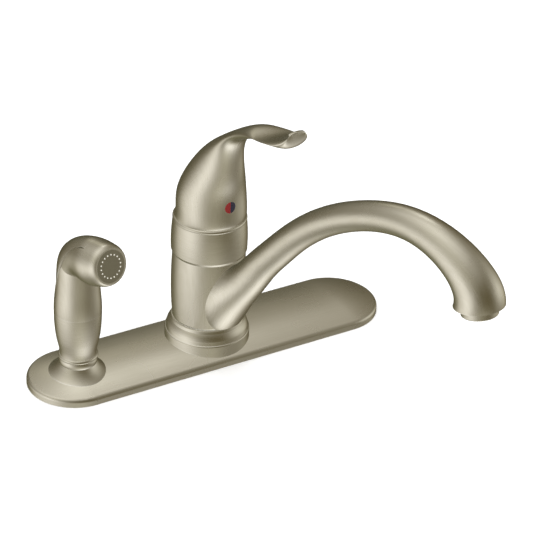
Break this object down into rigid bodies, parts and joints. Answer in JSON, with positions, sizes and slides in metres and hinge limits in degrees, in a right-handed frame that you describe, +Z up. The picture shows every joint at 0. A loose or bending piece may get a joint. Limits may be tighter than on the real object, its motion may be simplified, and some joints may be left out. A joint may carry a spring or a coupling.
{
  "type": "kitchen faucet with side spray",
  "caption": "One-handle deck-mounted kitchen faucet with a low arched swivel spout, a long deck plate and a pull-out side spray in its holder.",
  "frame": {"origin": "on the valve body's axis, in the plane of the sink deck", "axes": "+Z up along the body's axis, +X to the user's right along the deck plate, -Y towards the user"},
  "size_m": [0.275, 0.2798, 0.3004],
  "materials": {
    "brushed_nickel": "satin",
    "brass": "machined",
    "copper_brass_tube": "drawn",
    "steel": "plain",
    "white_acetal": "moulded",
    "black_plastic": "moulded",
    "grey_plastic": "moulded",
    "index_red_blue": "printed in two halves",
    "rubber": "moulded"
  },
  "bodies": {
    "deck": {"deck_plate": "brushed_nickel", "underplate": "black_plastic", "deck_seal": "rubber", "plate_stud": "steel", "plate_stud_nut": "white_acetal", "base_ring": "brushed_nickel", "valve_body": "brass", "spout_seals": "rubber", "lower_glide": "white_acetal", "upper_glide": "white_acetal", "cap_ring": "brushed_nickel", "retainer_nut": "brass", "cartridge_sleeve": "white_acetal", "retaining_clip": "steel", "spray_holder": "brushed_nickel", "shank_washer": "steel", "shank_nut": "white_acetal", "holder_washer": "steel", "holder_nut": "white_acetal", "inlet_nipples": "copper_brass_tube", "spray_outlet": "copper_brass_tube"},
    "spout": {"spout": "brushed_nickel", "aerator_housing": "brushed_nickel", "aerator_insert": "grey_plastic", "aerator_washer": "rubber"},
    "pivot": {"handle_pivot": "white_acetal", "hinge_pin": "steel"},
    "handle": {"handle": "brushed_nickel", "handle_fork": "steel", "index_button": "index_red_blue", "handle_screw": "steel"},
    "stem": {"cartridge_stem": "brass", "stem_pin": "steel"},
    "coupling": {"hose_coupling": "white_acetal"},
    "spray": {"spray_grip": "brushed_nickel", "spray_head": "brushed_nickel", "spray_lever_pin": "steel", "spray_face": "brushed_nickel", "face_seal": "rubber"},
    "spray_lever": {"spray_lever": "brushed_nickel"},
    "spray_valve": {"spray_valve": "white_acetal", "spray_spring": "steel"}
  },
  "joints": [
    {"name": "spout_swivel", "type": "hinge", "parent": "deck", "child": "spout", "pos_m": [0, 0, 0.05], "axis": [0, 0, 1], "range_deg": [-75, 45]},
    {"name": "handle_turn", "type": "hinge", "parent": "deck", "child": "pivot", "pos_m": [0, 0, 0.105], "axis": [0, 0, 1], "range_deg": [-63, 57]},
    {"name": "handle_lift", "type": "hinge", "parent": "pivot", "child": "handle", "pos_m": [-0.00094, 0.01798, 0.11], "axis": [-0.9986, -0.0523, 0], "range_deg": [0, 18]},
    {"name": "stem_lift", "type": "slide", "parent": "pivot", "child": "stem", "axis": [0, 0, 1], "range_m": [0, 0.0062]},
    {"name": "spray_lift", "type": "slide", "parent": "deck", "child": "coupling", "axis": [0, 0, 1], "range_m": [0, 0.06]},
    {"name": "spray_turn", "type": "hinge", "parent": "coupling", "child": "spray", "pos_m": [-0.1016, 0, 0.05], "axis": [0, 0, 1], "continuous": true},
    {"name": "spray_press", "type": "hinge", "parent": "spray", "child": "spray_lever", "pos_m": [-0.09893, -0.01374, 0.113], "axis": [-0.9816, -0.1908, 0], "range_deg": [0, 1.6], "stiffness_Nm_per_rad": 2, "springref_deg": -2.86},
    {"name": "spray_valve_slide", "type": "slide", "parent": "spray", "child": "spray_valve", "axis": [0.1908, -0.9816, 0], "range_m": [0, 0.0009]}
  ],
  "couplings": [
    {"joint": "stem_lift", "follows": "handle_lift", "m_per_rad": 0.018617},
    {"joint": "spray_valve_slide", "follows": "spray_press", "m_per_rad": 0.029}
  ]
}
